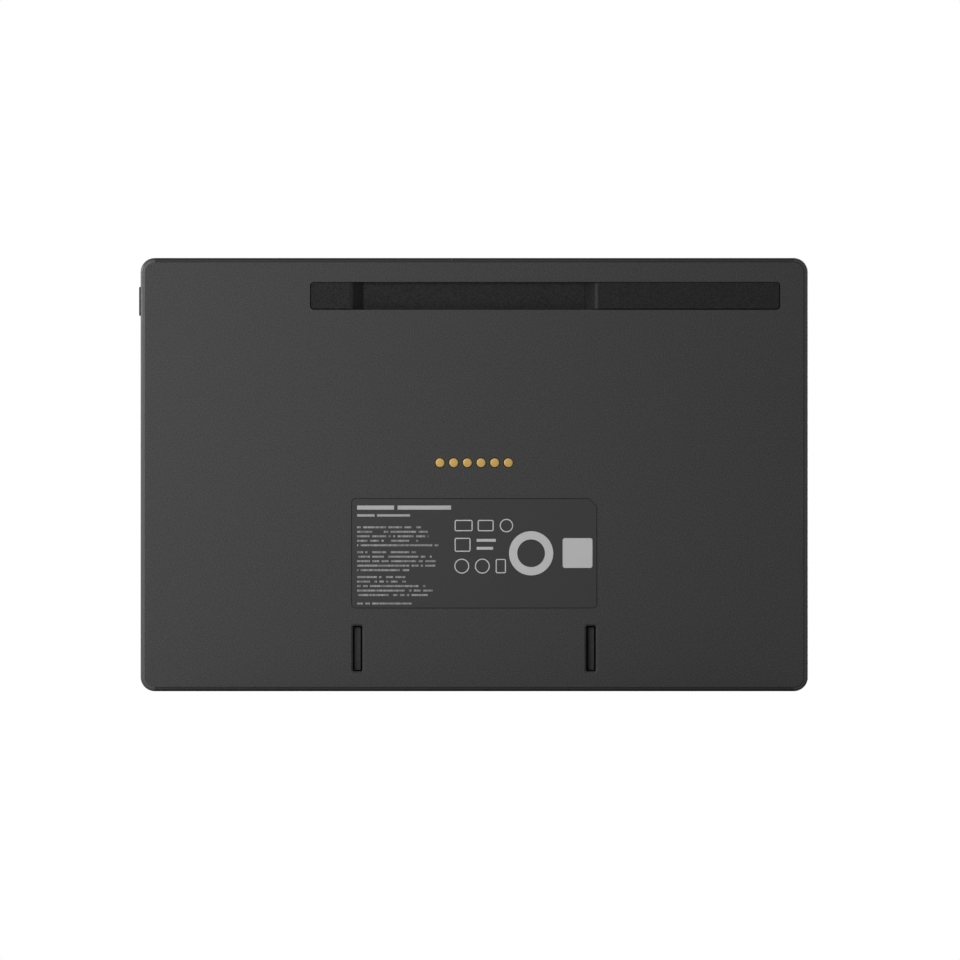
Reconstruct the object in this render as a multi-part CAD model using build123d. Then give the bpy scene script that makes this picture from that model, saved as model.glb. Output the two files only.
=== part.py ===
from build123d import *
import os

# A home energy display that hangs on a wall bracket, all sizes in millimetres.
# X runs across it, Z up it and Y through it: the flat back lies at Y 0 and the glass faces -Y.
# The origin is the centre of the back face.

# Housing
body_width = 260.0
body_height = 168.8
body_depth = 15.0
corner_radius = 5.5
back_edge_radius = 1.6
front_edge_bevel = 0.6
side_wall = 2.0
back_wall = 2.2
frame_depth = 3.5
part_line_bevel = 0.25
overrun = 1.0
hidden_sides = 6

# Bracket interface: the pocket, the film panel and the two slots all span the same width
dock_width = 96.0
pocket_depth = 4.2
ramp_run = 4.7
ramp_edge_radius = 1.5
short_shelf = 16.0
rail_end_inset = 10.8
rail_top_inset = 9.3
rail_height = 10.9
rail_corner = 1.5
rail_gap = 0.3
rail_lift = 0.1
shelf_recess = 0.35
rail_wall = 1.2
rail_flange = 1.6
tub_relief = 0.2

slot_width = 5.07
slot_height = 19.1
slot_mouth_bevel = 0.7
slot_corner = 0.6
slot_bottom_inset = 7.1
liner_wall = 1.2
liner_depth = 2.6
pad_gap = 0.6
pad_end_gap = 0.45
pad_recess = 3.0

# Film panel
label_gap = 6.0
label_height = 43.1
label_corner = 1.8
label_cut = 3.2
label_recess = 0.2
label_thickness = 0.15
label_margin = 0.15

# Contacts
contact_count = 6
contact_pitch = 5.325
contact_gap = 13.7
contact_radius = 1.65
contact_bevel = 0.15
contact_recess = 0.12
contact_moat = 0.35
carrier_thickness = 1.2
carrier_height = 9.0
carrier_end = 7.4
carrier_screw_inset = 2.4
contact_board_thickness = 1.0

# Small self-tapping screws and the ears that they hold
screw_radius = 0.7
screw_head_radius = 1.5
screw_head_height = 0.7
screw_bite = 1.3
pilot_spare = 0.2
screw_clearance = 0.08
ear_radius = 2.3
ear_step = 1.9

# Main screws, brass inserts and the bosses that hold them
boss_radius = 2.6
boss_inset = 4.6
boss_offset = 26.6
upper_boss_drop = 5.8
insert_radius = 1.6
insert_length = 4.0
main_screw_radius = 0.95
main_screw_length = 4.6
main_head_radius = 1.9
main_head_height = 0.9
main_screw_clearance = 0.1

# Ribs inside the back wall
rib_thickness = 1.0
rib_height = 1.5
rib_clearance = 0.6
rib_x_shares = (-0.72, -0.26, 0.26, 0.72)
rib_z_shares = (-0.4, 0.25)

# Front frame, its tongue and snap teeth
glass_gap = 0.12
glass_recess = 0.1
rim_width = 1.3
tongue_gap = 0.1
tongue_thickness = 1.0
tongue_depth = 1.6
tooth_length = 8.0
tooth_reach = 0.5
tooth_height = 0.6
tooth_clearance = 0.1
tooth_x_shares = (-0.8, -0.4, 0.1, 0.6)
tooth_z_shares = (-0.5, 0.5)
ledge_thickness = 1.2

# Display stack, from the glass to the chassis
glass_thickness = 1.1
glass_edge_bevel = 0.3
tape_thickness = 0.2
module_side_margin = 8.5
module_end_margin = 5.5
module_gap = 0.5
lcd_thickness = 1.3
film_thickness = 0.4
guide_thickness = 0.8
reflector_thickness = 0.2
tray_wall = 0.4
stack_gap = 0.1
led_bar_depth = 0.9
led_bar_inset = 2.1
led_count = 12
cushion_thickness = 0.3
cushion_width = 6.0
cushion_end_inset = 18.0

# Chassis
chassis_thickness = 1.0
chassis_gap = 0.4
chassis_corner = 3.0
spacer_height = 1.0
spacer_radius = 2.4

# Display driver board in its chassis window
driver_width = 120.0
driver_height = 9.0
driver_thickness = 0.8
window_margin = 1.5
driver_plug_width = 20.0
driver_plug_height = 3.0
driver_plug_thickness = 0.9
flex_thickness = 0.15
flex_step = 0.35
flex_clearance = 0.3
lcd_flex_width = 56.0

# Main board and what it carries
board_width = 92.0
board_height = 58.0
board_thickness = 1.0
board_screw_inset = 4.0
board_screw_head_radius = 1.8
board_screw_head_height = 0.8
board_screw_length = 2.6
can_wall = 0.2
can_height = 1.8
processor_can = (34.0, 28.0)
radio_can = (20.0, 16.0)
power_can = (24.0, 16.0)
can_spacing = 4.0
heat_sheet_margin = 2.0
heat_sheet_thickness = 0.3
plug_thickness = 1.4
plug_depth = 4.0
plug_inset = 1.0
contact_plug_width = 12.0
contact_flex_run = 10.0
battery_plug_width = 9.0
antenna_plug_size = 2.6

# Battery
battery_width = 80.0
battery_drop = 19.9
battery_clearance = 0.2
circuit_inset = 2.5
battery_bevel = 0.8
battery_tape_thickness = 0.2
battery_tape_width = 12.0
circuit_height = 4.0
circuit_thickness = 2.6
battery_lead_radius = 0.6
battery_plug_drop = 13.0

# Side key and its switch
key_length = 11.3
key_width = 2.6
key_proud = 0.6
key_top_inset = 11.25
key_depth = 5.8
key_clearance = 0.15
key_edge_bevel = 0.4
key_travel = 0.3
key_flange = 1.0
key_flange_thickness = 0.8
key_rest_gap = 0.05
key_nub_radius = 0.9
key_nub_length = 0.8
plunger_radius = 0.8
plunger_length = 1.6
plunger_reach = 0.7
plunger_clearance = 0.06
switch_size = 3.4
switch_length = 4.5
switch_thickness = 2.4
key_board_thickness = 0.8
key_board_length = 12.0
key_board_width = 5.2
bracket_thickness = 0.8
bracket_length = 13.6
bracket_rise = 7.0
bracket_foot = 8.0
bracket_screw_inset = 3.6

# Microphones in the top bevel
mic_spacing = 16.8
mic_offset = 0.5
mic_port_radius = 0.4
mic_mesh_thickness = 0.2
mic_mesh_depth = 0.5
boot_width = 4.4
boot_depth = 3.2
boot_drop = 4.4
mic_board_length = 28.0
mic_board_thickness = 0.8
mic_length = 3.4
mic_height = 2.4
mic_thickness = 1.0

# Speaker over its row of ports in the bottom edge
speaker_width = 38.0
speaker_height = 17.5
speaker_depth = 5.6
speaker_gap = 2.0
gasket_thickness = 0.5
gasket_wall = 1.2
port_count = 9
port_pitch = 2.4
port_width = 1.2
port_length = 2.2
port_level = 5.0
duct_height = 2.4
cone_width = 26.0
cone_height = 10.0
cone_thickness = 0.6

# Antennas
antenna_length = 36.0
antenna_width = 5.0
antenna_thickness = 0.2
antenna_rise = 33.0
antenna_plug_inset = 12.0
antenna_clearance = 0.3
lead_radius = 0.45

# Levels through the display, from the back face towards the glass
inner_back = -back_wall
parting = frame_depth - body_depth
glass_front = glass_recess - body_depth
glass_back = glass_front + glass_thickness
ledge_front = glass_back + tape_thickness
ledge_back = ledge_front + ledge_thickness
lcd_back = glass_back + lcd_thickness
films_back = lcd_back + film_thickness
guide_back = films_back + guide_thickness
reflector_back = guide_back + reflector_thickness
tray_back = reflector_back + tray_wall
chassis_front = tray_back + cushion_thickness
chassis_back = chassis_front + chassis_thickness
board_front = chassis_back + spacer_height
board_back = board_front + board_thickness
tongue_back = parting + tongue_depth
pocket_floor = -pocket_depth
rail_front = inner_back - rail_wall
tub_back = pocket_floor - rail_wall
slot_floor = inner_back - liner_depth
carrier_front = inner_back - carrier_thickness
contact_board_front = carrier_front - contact_board_thickness
port_centre = inner_back - port_level / 2
mic_board_back = inner_back - boot_depth
mic_board_front = mic_board_back - mic_board_thickness

# Places across and up the display
half_width = body_width / 2
half_height = body_height / 2
inner_x = half_width - side_wall
inner_z = half_height - side_wall
half_dock = dock_width / 2
long_shelf = half_width - half_dock - rail_end_inset
rail_width = dock_width + short_shelf + long_shelf
rail_x = (short_shelf - long_shelf) / 2
rail_z = half_height - rail_top_inset - rail_height / 2
slot_x = half_dock - slot_width / 2
slot_xs = (-slot_x, slot_x)
slot_z = slot_height / 2 + slot_bottom_inset - half_height
slot_inner_width = slot_width - 2 * slot_mouth_bevel
slot_inner_height = slot_height - 2 * slot_mouth_bevel
label_z = slot_z + slot_height / 2 + label_gap + label_height / 2
contact_z = label_z + label_height / 2 + contact_gap
contact_xs = [(i - (contact_count - 1) / 2) * contact_pitch for i in range(contact_count)]
carrier_width = (contact_count - 1) * contact_pitch + 2 * carrier_end
carrier_screw_xs = (carrier_screw_inset - carrier_width / 2, carrier_width / 2 - carrier_screw_inset)
contact_socket_z = contact_z + carrier_height / 2 + contact_flex_run + plug_depth / 2
boss_x = inner_x - boss_inset
boss_z = inner_z - boss_inset
lower_boss_x = boss_x - speaker_width - 2 * (boss_radius + speaker_gap)
upper_boss_x = half_dock + boss_offset
upper_boss_z = rail_z - rail_height / 2 - upper_boss_drop
boss_places = (
    [(x, z) for x in (-boss_x, boss_x) for z in (-boss_z, 0, boss_z)]
    + [(x, -boss_z) for x in (-lower_boss_x, 0, lower_boss_x)]
    + [(x, upper_boss_z) for x in (-upper_boss_x, upper_boss_x)]
)
glass_width = body_width - 2 * (rim_width + glass_gap)
glass_height = body_height - 2 * (rim_width + glass_gap)
glass_corner = corner_radius - rim_width - glass_gap
module_width = body_width - 2 * module_side_margin
module_height = body_height - 2 * module_end_margin
tongue_x = inner_x - tongue_gap
tongue_z = inner_z - tongue_gap
driver_z = boss_radius + 2 * window_margin + driver_height / 2 - boss_z
board_gap = (2 * (boss_x - boss_radius) - board_width - battery_width) / 3
board_x = boss_radius - boss_x + board_gap + board_width / 2
board_left = board_x - board_width / 2
board_right = board_x + board_width / 2
board_top = upper_boss_z - boss_radius - chassis_gap
board_z = board_top - board_height / 2
board_low = board_top - board_height
cable_x = board_x + board_width / 4
battery_plug_z = board_top - battery_plug_drop
battery_x = boss_x - boss_radius - board_gap - battery_width / 2
cup_top = slot_z + slot_inner_height / 2 + liner_wall + ear_step + ear_radius
battery_height = board_top - circuit_height - cup_top - battery_drop
battery_z = board_top - circuit_height - battery_height / 2
battery_front = chassis_back + battery_tape_thickness
battery_back = contact_board_front - screw_head_height - battery_clearance
key_z = half_height - key_top_inset - key_length / 2
key_y = -key_depth
key_seat_x = inner_x - key_rest_gap
key_flange_x = key_seat_x - key_flange_thickness
key_nub_x = key_flange_x - key_nub_length
switch_face_x = key_nub_x - plunger_reach
switch_back_x = switch_face_x - switch_thickness
bracket_x = switch_back_x - key_board_thickness
bracket_screw_x = bracket_x - bracket_screw_inset
speaker_x = -(lower_boss_x + boss_x) / 2
speaker_z = gasket_thickness + speaker_height / 2 - inner_z
antenna_z = antenna_rise
top_antenna_x = board_left + antenna_plug_inset
antenna_y = inner_back - rib_height - antenna_clearance - antenna_width / 2
mic_xs = [mic_offset - mic_spacing / 2, mic_offset + mic_spacing / 2]


# Drawing planes and plain solids

def facing(y, x=0, z=0):
    """A drawing plane across the display at one level, with X to the right and Z up."""
    return Plane(origin=(x, y, z), x_dir=(1, 0, 0), z_dir=(0, -1, 0))


def slab(outline, back, front, x=0, z=0):
    """The outline, filled from one level to another."""
    return extrude(facing(back, x, z) * outline, back - front)


def box(width, height, back, front, x=0, z=0):
    return slab(Rectangle(width, height), back, front, x, z)


def disc(radius, back, front, x=0, z=0):
    return slab(Circle(radius), back, front, x, z)


def flats(radius):
    """The outline of a small hidden round piece or hole, with few flat sides to keep its faces few."""
    return RegularPolygon(radius, hidden_sides)


def stud(radius, back, front, x=0, z=0):
    return slab(flats(radius), back, front, x, z)


def across(outline, start, end, y=0, z=0):
    """The outline, drawn in Y and Z and filled along X."""
    plane = Plane(origin=(start, y, z), x_dir=(0, 1, 0), z_dir=(1, 0, 0))
    return extrude(plane * outline, end - start)


def upward(outline, start, end, x=0, y=0):
    """The outline, drawn in X and Y and filled along Z."""
    plane = Plane(origin=(x, y, start), x_dir=(1, 0, 0), z_dir=(0, 0, 1))
    return extrude(plane * outline, end - start)


def rounded(width, height, radius):
    return RectangleRounded(width, height, radius)


def ring(outer, inner, back, front, x=0, z=0):
    """What is left of the outer outline, filled, once the inner one is cut through it."""
    return slab(outer, back, front, x, z) - slab(inner, back + overrun, front - overrun, x, z)


def group(solids):
    """Separate solids that share one node."""
    return Part() + list(solids)


def housing_outline(inset=0):
    width = body_width - 2 * inset
    height = body_height - 2 * inset
    return rounded(width, height, max(corner_radius - inset, part_line_bevel))


# Screws, inserts and bosses

def small_screw(x, z, seat, tip):
    """A flat-headed screw driven in from the front, with its head on the seat."""
    head = stud(screw_head_radius, seat, seat - screw_head_height, x, z)
    return head + stud(screw_radius, tip, seat - screw_head_height / 2, x, z)


def pilot(x, z):
    deep = inner_back + screw_bite + pilot_spare
    return stud(screw_radius + screw_clearance, deep, inner_back - overrun, x, z)


def screw_hole(x, z, back, front):
    return stud(screw_radius + screw_clearance, back + overrun, front - overrun, x, z)


def cone(wide, narrow, front, height, x, z):
    """A countersink that is widest at the front."""
    plane = Plane(origin=(x, front, z), x_dir=(1, 0, 0), z_dir=(0, 1, 0))
    return loft([plane * flats(wide), plane.offset(height) * flats(narrow)], ruled=True)


def main_screw(x, z):
    head = cone(main_head_radius, main_screw_radius, chassis_front, main_head_height, x, z)
    start = chassis_front + main_head_height / 2
    return head + stud(main_screw_radius, chassis_back + main_screw_length, start, x, z)


def main_screw_hole(x, z):
    wide = main_head_radius + main_screw_clearance
    narrow = main_screw_radius + main_screw_clearance
    sink = cone(wide, narrow, chassis_front, main_head_height, x, z)
    return sink + stud(narrow, chassis_back + overrun, chassis_front, x, z)


def threaded_insert(x, z):
    bore = flats(main_screw_radius + screw_clearance)
    return ring(flats(insert_radius), bore, chassis_back + insert_length, chassis_back, x, z)


def boss_hole(x, z):
    """The bore for one insert, which runs deeper for the screw's tip."""
    seat = stud(insert_radius, chassis_back + insert_length, chassis_back - overrun, x, z)
    deep = chassis_back + main_screw_length + pilot_spare
    return seat + stud(main_screw_radius + screw_clearance, deep, chassis_back, x, z)


# Hook rail and its window

def rail_outline(grow):
    return rounded(rail_width + 2 * grow, rail_height + 2 * grow, rail_corner + grow)


def flange_outline(grow):
    reach = 2 * (rail_flange + grow)
    return Rectangle(rail_width + reach, rail_height + reach)


def rail_ears():
    """Screw places along the lower edge of the rail's flange."""
    z = rail_z - rail_height / 2 - rail_flange - ear_step
    left, right = rail_x - rail_width / 2, rail_x + rail_width / 2
    return [(x, z) for x in (left + boss_inset, left + boss_offset, -half_dock / 2, right - boss_inset)]


def ear(x, z, back, front, reach):
    """A round tab with a stem that reaches back to the flange."""
    stem = box(2 * ear_radius, reach, back, front, x, z + reach / 2)
    return stud(ear_radius, back, front, x, z) + stem


def hook_rail():
    """Two shelves just under the back face, with a pocket between them that ramps down at both ends."""
    shelf = slab(rail_outline(-rail_gap), -shelf_recess, inner_back, rail_x, rail_z + rail_lift)
    flange = slab(flange_outline(0), inner_back, rail_front, rail_x, rail_z)
    pocket_half = rail_height / 2 + tub_relief
    tub_width, tub_height = dock_width + 2 * rail_wall, 2 * (pocket_half + rail_wall)
    rail = shelf + flange + box(tub_width, tub_height, inner_back, tub_back, 0, rail_z)
    rail += [ear(x, z, inner_back, rail_front, rail_flange + ear_step) for x, z in rail_ears()]
    floor_half = half_dock - ramp_run
    profile = Polyline(
        (-half_dock, overrun),
        (-half_dock, -shelf_recess),
        (-floor_half, pocket_floor),
        (floor_half, pocket_floor),
        (half_dock, -shelf_recess),
        (half_dock, overrun),
        close=True,
    )
    rail -= upward(make_face(profile), rail_z - pocket_half, rail_z + pocket_half)
    crests = (
        rail.edges()
        .filter_by(Axis.Z)
        .filter_by_position(Axis.Y, -shelf_recess - tub_relief, -shelf_recess + tub_relief)
        .filter_by_position(Axis.X, -half_dock - tub_relief, half_dock + tub_relief)
    )
    rail = fillet(crests, ramp_edge_radius)
    return rail - [screw_hole(x, z, inner_back, rail_front) for x, z in rail_ears()]


# Slots with their liners and pads

def slot_outline():
    return rounded(slot_inner_width, slot_inner_height, slot_corner)


def slot_ears(x):
    reach = slot_inner_height / 2 + liner_wall + ear_step
    return [(x, slot_z - reach), (x, slot_z + reach)]


def slot_liner(x):
    """A cup behind one slot, screwed to the back wall at both ends."""
    width, height = slot_inner_width + 2 * liner_wall, slot_inner_height + 2 * liner_wall
    cup = box(width, height, inner_back, slot_floor - liner_wall, x, slot_z)
    tab_front = inner_back - liner_wall
    for ear_x, ear_z in slot_ears(x):
        cup += stud(ear_radius, inner_back, tab_front, ear_x, ear_z)
    cup -= slab(slot_outline(), inner_back + overrun, slot_floor, x, slot_z)
    return cup - [screw_hole(a, b, inner_back, tab_front) for a, b in slot_ears(x)]


def slot_pad(x):
    width = slot_inner_width - 2 * pad_gap
    height = slot_inner_height - 2 * pad_end_gap
    return box(width, height, -pad_recess, slot_floor, x, slot_z)


# Film panel

def label_outline():
    """A panel with three round corners and one cut corner, at the top on the -X side."""
    plate = Rectangle(dock_width, label_height)
    plate = chamfer(plate.vertices().group_by(Axis.X)[0].sort_by(Axis.Y)[-1], label_cut)
    lower = plate.vertices().group_by(Axis.Y)[0]
    upper = plate.vertices().group_by(Axis.Y)[-1].sort_by(Axis.X)[-1]
    return fillet([*lower, upper], label_corner)


def label_film():
    film = offset(label_outline(), -label_margin)
    return slab(film, label_thickness - label_recess, -label_recess, 0, label_z)


# Contacts

def contact_pad(x):
    """A flat gold pad that stands on the contact board and reaches through the carrier."""
    pad = disc(contact_radius, -contact_recess, carrier_front, x, contact_z)
    return chamfer(pad.edges().group_by(Axis.Y)[-1], contact_bevel)


def contact_carrier():
    """The black plate behind the back wall that holds the pads."""
    plate = box(carrier_width, carrier_height, inner_back, carrier_front, 0, contact_z)
    bores = [disc(contact_radius, overrun, carrier_front - overrun, x, contact_z) for x in contact_xs]
    screws = [screw_hole(x, contact_z, inner_back, carrier_front) for x in carrier_screw_xs]
    return plate - bores - screws


def contact_board():
    plate = box(carrier_width, carrier_height, carrier_front, contact_board_front, 0, contact_z)
    screws = [screw_hole(x, contact_z, carrier_front, contact_board_front) for x in carrier_screw_xs]
    return plate - screws


# Rear cover

def key_slot(grow):
    """The side key's outline in Y and Z, with half-round ends."""
    return SlotOverall(key_length + 2 * grow, key_width + 2 * grow, rotation=90)


def mic_plane(x, depth):
    """A plane square to a microphone port, at a depth below the bevel along the port's axis."""
    slope = 1 / 2 ** 0.5
    middle = (back_edge_radius * (slope - 1), half_height - back_edge_radius * (1 - slope))
    y = middle[0] - depth * slope
    z = middle[1] - depth * slope
    return Plane(origin=(x, y, z), x_dir=(1, 0, 0), z_dir=(0, -1, -1))


def mic_port(x):
    length = 2 * overrun + back_edge_radius + boot_drop
    return extrude(mic_plane(x, -overrun) * flats(mic_port_radius), length)


def speaker_ports():
    xs = [speaker_x + (i - (port_count - 1) / 2) * port_pitch for i in range(port_count)]
    low, high = -half_height - overrun, overrun - inner_z
    return [upward(Rectangle(port_width, port_length), low, high, x, port_centre) for x in xs]


def tooth_places():
    """Where each snap tooth sits on the frame's tongue, and whether it runs along X."""
    low = [(share * inner_x, side * tongue_z, True) for share in tooth_x_shares for side in (-1, 1)]
    high = [(side * tongue_x, share * inner_z, False) for share in tooth_z_shares for side in (-1, 1)]
    return low + high


def teeth(grow):
    """Half-sunk bars along the tongue, or with room round them the pockets that they snap into."""
    level = (parting + tongue_back) / 2
    half = tooth_height / 2 + grow
    length = tooth_length + 2 * grow
    reach = 2 * (tooth_reach + grow)
    solids = []
    for x, z, runs_along_x in tooth_places():
        size = (length, reach) if runs_along_x else (reach, length)
        solids.append(box(*size, level + half, level - half, x, z))
    return solids


def rib_grid():
    bars = [
        box(rib_thickness, 2 * inner_z, inner_back, inner_back - rib_height, share * inner_x, 0)
        for share in rib_x_shares
    ]
    bars += [
        box(2 * inner_x, rib_thickness, inner_back, inner_back - rib_height, 0, share * inner_z)
        for share in rib_z_shares
    ]
    return bars


def rib_clearings():
    """Room in the rib grid for what sits on the back wall."""
    back, front = inner_back + overrun, inner_back - rib_height - overrun
    ear_width = 2 * ear_radius
    cup_height = slot_inner_height + 2 * (liner_wall + ear_step + ear_radius)
    bracket_reach = inner_x - bracket_x + bracket_foot
    boxes = [(ear_width, cup_height, x, slot_z) for x in slot_xs]
    boxes.append((carrier_width, carrier_height, 0, contact_z))
    boxes.append((speaker_width, speaker_height + 2 * gasket_thickness, speaker_x, speaker_z))
    boxes.append((mic_board_length, 2 * boot_drop, mic_offset, inner_z))
    boxes.append((bracket_reach, bracket_length, inner_x - bracket_reach / 2, key_z))
    room = [
        box(width + 2 * rib_clearance, height + 2 * rib_clearance, back, front, x, z)
        for width, height, x, z in boxes
    ]
    room.append(slab(flange_outline(rib_clearance), back, front, rail_x, rail_z))
    return room + [stud(ear_radius + rib_clearance, back, front, x, z) for x, z in rail_ears()]


def rear_cover():
    shell = slab(housing_outline(), 0, parting)
    shell = fillet(shell.edges().group_by(Axis.Y)[-1], back_edge_radius)
    shell = chamfer(shell.edges().group_by(Axis.Y)[0], part_line_bevel)
    for x in slot_xs:
        shell -= slab(slot_outline(), overrun, parting - overrun, x, slot_z)
    mouths = (
        shell.edges()
        .filter_by_position(Axis.Y, -back_edge_radius / 2, back_edge_radius / 2)
        .filter_by_position(Axis.X, -half_dock, half_dock)
        .filter_by_position(Axis.Z, slot_z - slot_height / 2, slot_z + slot_height / 2)
    )
    shell = chamfer(mouths, slot_mouth_bevel)
    shell -= slab(housing_outline(side_wall), inner_back, parting - overrun)
    bosses = [stud(boss_radius, inner_back, chassis_back, x, z) for x, z in boss_places]
    shell += bosses + [group(rib_grid()) - rib_clearings()]
    cuts = [slab(rail_outline(0), overrun, inner_back - overrun, rail_x, rail_z)]
    bore = contact_radius + contact_moat
    cuts += [disc(bore, overrun, inner_back - overrun, x, contact_z) for x in contact_xs]
    cuts.append(slab(label_outline(), overrun, -label_recess, 0, label_z))
    cuts.append(across(key_slot(key_clearance), inner_x - overrun, half_width + overrun, key_y, key_z))
    cuts += [mic_port(x) for x in mic_xs]
    cuts += speaker_ports()
    cuts += teeth(tooth_clearance)
    cuts += [boss_hole(x, z) for x, z in boss_places]
    cuts += [pilot(x, z) for x, z in screw_places()]
    return shell - cuts


def screw_places():
    """Every small screw that is driven into the back wall."""
    places = rail_ears()
    for x in slot_xs:
        places += slot_ears(x)
    places += [(x, contact_z) for x in carrier_screw_xs]
    return places + [(bracket_screw_x, key_z)]


def small_screws():
    tip = inner_back + screw_bite
    screws = [small_screw(x, z, rail_front, tip) for x, z in rail_ears()]
    for x in slot_xs:
        screws += [small_screw(a, b, inner_back - liner_wall, tip) for a, b in slot_ears(x)]
    screws += [small_screw(x, contact_z, contact_board_front, tip) for x in carrier_screw_xs]
    screws.append(small_screw(bracket_screw_x, key_z, inner_back - bracket_thickness, tip))
    return group(screws)


# Side key

def side_key():
    """The cap through the wall, with a flange inside that keeps it in and a nub for the switch."""
    cap = across(key_slot(0), key_seat_x, half_width + key_proud, key_y, key_z)
    cap = chamfer(cap.edges().group_by(Axis.X)[-1], key_edge_bevel)
    flange = across(key_slot(key_flange), key_flange_x, key_seat_x, key_y, key_z)
    nub = across(flats(key_nub_radius), key_nub_x, key_flange_x, key_y, key_z)
    return cap + flange + nub


def switch_plunger():
    return across(flats(plunger_radius), key_nub_x - plunger_length, key_nub_x, key_y, key_z)


def key_switch():
    body = across(Rectangle(switch_size, switch_length), switch_back_x, switch_face_x, key_y, key_z)
    deep = key_nub_x - plunger_length - key_travel - plunger_clearance
    bore = flats(plunger_radius + plunger_clearance)
    return body - across(bore, deep, switch_face_x + overrun, key_y, key_z)


def key_board():
    outline = Rectangle(key_board_width, key_board_length)
    return across(outline, bracket_x, switch_back_x, key_y, key_z)


def key_bracket():
    """A bent steel angle: its foot is screwed to the back wall and its upright holds the key board."""
    front = inner_back - bracket_rise
    upright_x = bracket_x - bracket_thickness / 2
    foot_front = inner_back - bracket_thickness
    upright = box(bracket_thickness, bracket_length, inner_back, front, upright_x, key_z)
    foot = Rectangle(bracket_foot, bracket_length)
    angle = upright + slab(foot, inner_back, foot_front, bracket_x - bracket_foot / 2, key_z)
    return angle - screw_hole(bracket_screw_x, key_z, inner_back, foot_front)


# Microphones

def mic_boots():
    """Soft blocks in the inner corner that carry each port on to the board."""
    boots = [
        box(boot_width, boot_drop, inner_back, mic_board_back, x, inner_z - boot_drop / 2)
        for x in mic_xs
    ]
    return group(boots) - [mic_port(x) for x in mic_xs]


def mic_board():
    middle = inner_z - boot_drop / 2
    return box(mic_board_length, boot_drop, mic_board_back, mic_board_front, mic_offset, middle)


def microphones():
    front = mic_board_front - mic_thickness
    middle = inner_z - boot_drop / 2
    return group(box(mic_length, mic_height, mic_board_front, front, x, middle) for x in mic_xs)


def mic_meshes():
    return group(
        extrude(mic_plane(x, mic_mesh_depth) * flats(mic_port_radius), mic_mesh_thickness)
        for x in mic_xs
    )


# Speaker

def speaker_box():
    """A sealed box with its duct open towards the ports."""
    back, front = inner_back, inner_back - speaker_depth
    shell = box(speaker_width, speaker_height, back, front, speaker_x, speaker_z)
    bottom = speaker_z - speaker_height / 2
    duct_width = port_count * port_pitch
    shell -= box(
        duct_width,
        duct_height,
        port_centre + port_length / 2,
        port_centre - port_length / 2,
        speaker_x,
        bottom + duct_height / 2,
    )
    well_back = front + cone_thickness
    return shell - box(cone_width, cone_height, well_back, front - overrun, speaker_x, speaker_z)


def speaker_cone():
    front = inner_back - speaker_depth
    return box(cone_width, cone_height, front + cone_thickness, front, speaker_x, speaker_z)


def speaker_gasket():
    """A foam frame between the box and the bottom wall, round all the ports."""
    bottom = speaker_z - speaker_height / 2
    width = port_count * port_pitch + 2 * gasket_wall
    height = port_length + 2 * gasket_wall
    frame = Rectangle(width, height) - Rectangle(width - 2 * gasket_wall, port_length)
    return upward(frame, bottom - gasket_thickness, bottom, speaker_x, port_centre)


# Front frame and display

def module_outline(grow):
    return Rectangle(module_width + 2 * grow, module_height + 2 * grow)


def front_frame():
    """The bezel ring: a rim round the glass, a ledge under its edge and a tongue into the cover."""
    frame = slab(housing_outline(), parting, -body_depth)
    frame = chamfer(frame.edges().group_by(Axis.Y)[0], front_edge_bevel)
    frame = chamfer(frame.edges().group_by(Axis.Y)[-1], part_line_bevel)
    frame += slab(housing_outline(side_wall + tongue_gap), tongue_back, parting)
    frame += teeth(0)
    frame -= slab(housing_outline(rim_width), ledge_front, -body_depth - overrun)
    opening = module_outline(module_gap)
    frame -= slab(opening, tongue_back + overrun, ledge_front - overrun)
    inner = housing_outline(side_wall + tongue_gap + tongue_thickness)
    return frame - slab(inner, tongue_back + overrun, ledge_back)


def front_glass():
    glass = slab(rounded(glass_width, glass_height, glass_corner), glass_back, glass_front)
    return chamfer(glass.edges().group_by(Axis.Y)[0], glass_edge_bevel)


def glass_tape():
    opening = module_outline(module_gap)
    outer = rounded(glass_width, glass_height, glass_corner)
    return ring(outer, opening, ledge_front, glass_back)


def lcd_panel():
    return slab(module_outline(0), lcd_back, glass_back)


def backlight_tray():
    tray = slab(module_outline(0), tray_back, lcd_back)
    return tray - slab(module_outline(-tray_wall), reflector_back, lcd_back - overrun)


def tray_sheet(back, front, bottom=0):
    """A sheet that lies in the tray, cut short at the bottom for the LED bar."""
    width = module_width - 2 * (tray_wall + stack_gap)
    height = module_height - 2 * (tray_wall + stack_gap) - bottom
    return box(width, height, back, front, 0, bottom / 2)


def led_bar():
    """The strip along the tray's lower wall, with one block for each lamp."""
    low = tray_wall + stack_gap - module_height / 2
    width = module_width - 2 * led_bar_inset
    pitch = width / led_count
    half = led_bar_depth / 2
    xs = [(i - (led_count - 1) / 2) * pitch for i in range(led_count)]
    tape = box(width, half, guide_back, films_back, 0, low + half / 2)
    return tape + [box(pitch / 2, half, guide_back, films_back, x, low + half * 3 / 2) for x in xs]


def cushion_strips():
    """Foam strips that hold the tray off the chassis along both sides."""
    height = module_height - 2 * cushion_end_inset
    x = module_width / 2 - 2 * cushion_width
    return group(box(cushion_width, height, chassis_front, tray_back, side * x) for side in (-1, 1))


# Chassis and boards

def board_places():
    x = board_width / 2 - board_screw_inset
    z = board_height / 2 - board_screw_inset
    return [(board_x + i * x, board_z + j * z) for i in (-1, 1) for j in (-1, 1)]


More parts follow.
